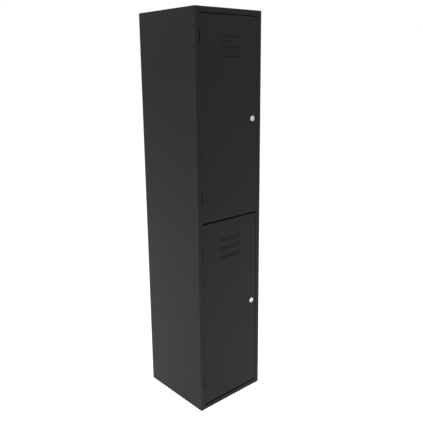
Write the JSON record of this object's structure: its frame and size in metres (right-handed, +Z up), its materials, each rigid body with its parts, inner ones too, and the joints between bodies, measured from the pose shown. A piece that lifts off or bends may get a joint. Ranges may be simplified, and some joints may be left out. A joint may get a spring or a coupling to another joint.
{
  "type": "locker cabinet",
  "caption": "Tall narrow steel locker with an upper and a lower hinged door, pressed louvres, cam locks, a middle shelf and coat hooks.",
  "frame": {"origin": "on the floor, at the centre of the carcass's footprint", "axes": "+Z up, -Y out of the doors, +X to the right as seen from the front"},
  "size_m": [0.38, 0.3961, 1.81],
  "materials": {
    "cabinet_paint": "fine-textured satin black powder coat",
    "hinge_steel": "dull black oxide",
    "lock_face": "warm satin nickel",
    "lock_plug": "pale nickel-plated brass",
    "zinc_plate": "zinc plated",
    "buffer_rubber": "matt"
  },
  "bodies": {
    "cabinet": {"left_side_panel": "cabinet_paint", "right_side_panel": "cabinet_paint", "back_panel": "cabinet_paint", "back_panel_rivets": "zinc_plate", "top_panel": "cabinet_paint", "bottom_panel": "cabinet_paint", "middle_shelf": "cabinet_paint", "door_buffers": "buffer_rubber", "upper_coat_hook": "zinc_plate", "lower_coat_hook": "zinc_plate", "coat_hook_rivets": "zinc_plate", "upper_door_top_hinge_frame_leaf": "hinge_steel", "upper_door_top_hinge_pin": "hinge_steel", "upper_door_bottom_hinge_frame_leaf": "hinge_steel", "upper_door_bottom_hinge_pin": "hinge_steel", "lower_door_top_hinge_frame_leaf": "hinge_steel", "lower_door_top_hinge_pin": "hinge_steel", "lower_door_bottom_hinge_frame_leaf": "hinge_steel", "lower_door_bottom_hinge_pin": "hinge_steel"},
    "upper_door": {"upper_door_panel": "cabinet_paint", "upper_door_stiffener": "cabinet_paint", "upper_lock_housing": "lock_face", "upper_lock_nut": "zinc_plate", "upper_door_top_hinge_door_leaf": "hinge_steel", "upper_door_bottom_hinge_door_leaf": "hinge_steel"},
    "upper_lock": {"upper_lock_plug": "lock_plug", "upper_lock_cam": "zinc_plate", "upper_lock_cam_screw": "zinc_plate"},
    "lower_door": {"lower_door_panel": "cabinet_paint", "lower_door_stiffener": "cabinet_paint", "lower_lock_housing": "lock_face", "lower_lock_nut": "zinc_plate", "lower_door_top_hinge_door_leaf": "hinge_steel", "lower_door_bottom_hinge_door_leaf": "hinge_steel"},
    "lower_lock": {"lower_lock_plug": "lock_plug", "lower_lock_cam": "zinc_plate", "lower_lock_cam_screw": "zinc_plate"}
  },
  "joints": [
    {"name": "upper_door_hinge", "type": "hinge", "parent": "cabinet", "child": "upper_door", "pos_m": [-0.1663, -0.1945, 1.34617], "axis": [0, 0, -1], "range_deg": [0, 110]},
    {"name": "upper_lock_turn", "type": "hinge", "parent": "upper_door", "child": "upper_lock", "pos_m": [0.1365, -0.195, 1.34617], "axis": [0, -1, 0], "range_deg": [0, 90]},
    {"name": "lower_door_hinge", "type": "hinge", "parent": "cabinet", "child": "lower_door", "pos_m": [-0.1663, -0.1945, 0.46513], "axis": [0, 0, -1], "range_deg": [0, 110]},
    {"name": "lower_lock_turn", "type": "hinge", "parent": "lower_door", "child": "lower_lock", "pos_m": [0.1365, -0.195, 0.46513], "axis": [0, -1, 0], "range_deg": [0, 90]}
  ]
}
